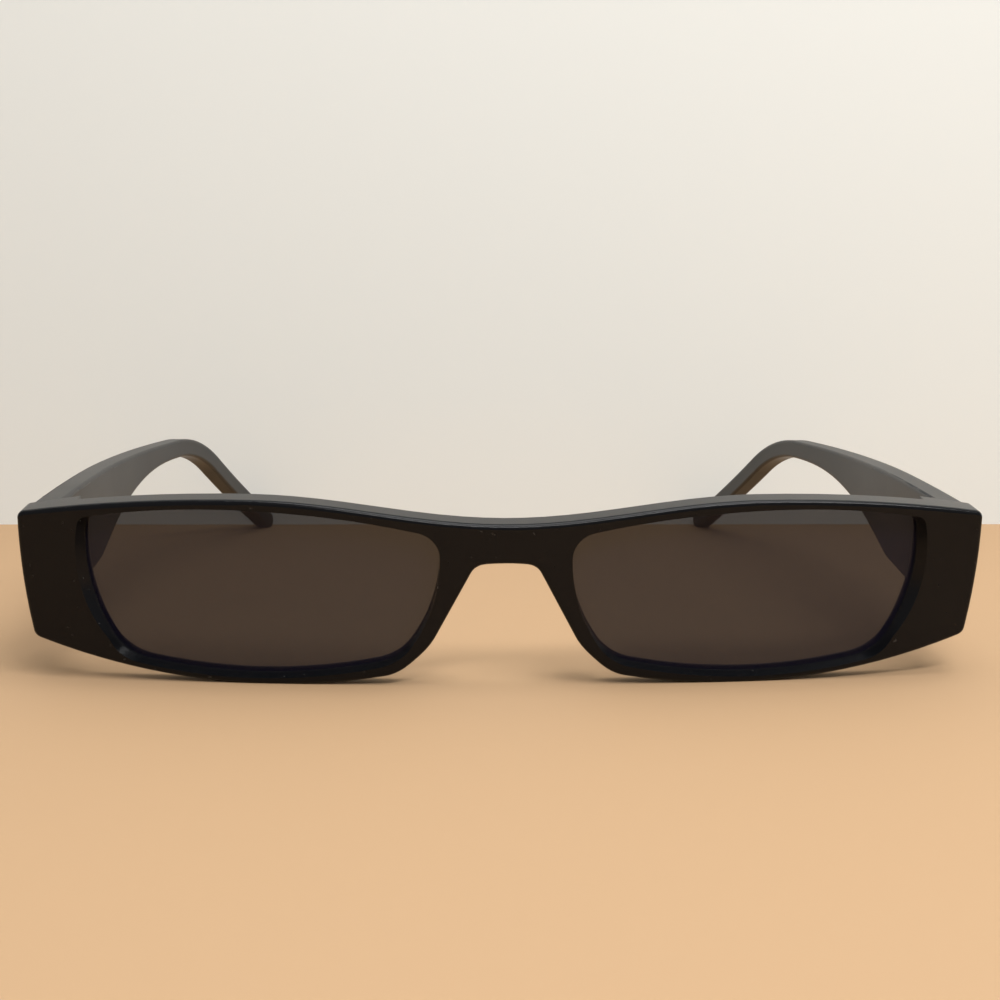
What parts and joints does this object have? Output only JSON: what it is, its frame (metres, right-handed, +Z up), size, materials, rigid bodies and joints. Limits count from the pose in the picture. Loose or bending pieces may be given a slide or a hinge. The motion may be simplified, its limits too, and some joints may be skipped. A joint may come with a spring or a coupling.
{
  "type": "narrow rectangle sunglasses",
  "caption": "Narrow rectangular plastic sunglasses with tinted lenses in a full rim and deep tapering temples that fold on barrel hinges.",
  "frame": {"origin": "on the table, under the middle of the open glasses' bounding box", "axes": "X runs across the front, the front faces -Y with the temples running back along +Y, and +Z is up"},
  "size_m": [0.143, 0.1375, 0.0283],
  "materials": {
    "frame_plastic": "satin black moulded plastic",
    "lens_tint": "clear polished, plain warm grey tint",
    "core_metal": "drawn wire",
    "hinge_metal": "satin nickel plate",
    "screw_metal": "turned and polished"
  },
  "bodies": {
    "front": {"front_frame": "frame_plastic", "left_lens": "lens_tint", "right_lens": "lens_tint", "left_hinge_front_leaf": "hinge_metal", "right_hinge_front_leaf": "hinge_metal", "left_hinge_screw": "screw_metal", "right_hinge_screw": "screw_metal", "left_front_leaf_rivets": "screw_metal", "right_front_leaf_rivets": "screw_metal"},
    "left_arm": {"left_temple": "frame_plastic", "left_temple_core_wire": "core_metal", "left_hinge_temple_leaf": "hinge_metal", "left_temple_leaf_rivets": "screw_metal"},
    "right_arm": {"right_temple": "frame_plastic", "right_temple_core_wire": "core_metal", "right_hinge_temple_leaf": "hinge_metal", "right_temple_leaf_rivets": "screw_metal"}
  },
  "joints": [
    {"name": "left_hinge", "type": "hinge", "parent": "front", "child": "left_arm", "pos_m": [-0.06505, -0.05526, 0.0171], "axis": [0, 0.1045, -0.9945], "range_deg": [0, 87]},
    {"name": "right_hinge", "type": "hinge", "parent": "front", "child": "right_arm", "pos_m": [0.06505, -0.05526, 0.0171], "axis": [0, -0.1045, 0.9945], "range_deg": [0, 81]}
  ]
}
